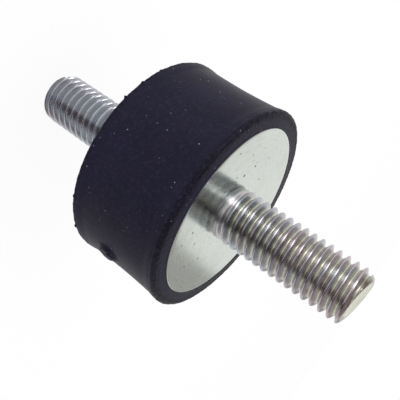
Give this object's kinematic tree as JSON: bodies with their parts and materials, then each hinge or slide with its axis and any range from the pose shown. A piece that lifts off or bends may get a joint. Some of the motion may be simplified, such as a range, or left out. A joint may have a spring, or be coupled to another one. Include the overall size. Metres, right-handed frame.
{
  "type": "bobbin vibration mount",
  "caption": "Round rubber vibration mount with a steel plate bonded into each end and a threaded stud standing out of each plate.",
  "frame": {"origin": "centre of the lower plate's seating face, on the studs' common axis", "axes": "+Z along the common axis, from the lower stud towards the upper stud; X and Y lie in the lower plate's face and are equivalent"},
  "size_m": [0.0306, 0.0306, 0.055],
  "materials": {
    "black_rubber": "matte moulded",
    "plate_zinc": "bright zinc plated",
    "stud_zinc": "bright zinc plated, rolled thread"
  },
  "bodies": {
    "root": {"rubber_body": "black_rubber", "lower_plate": "plate_zinc", "upper_plate": "plate_zinc", "lower_stud": "stud_zinc", "upper_stud": "stud_zinc"}
  },
  "joints": []
}
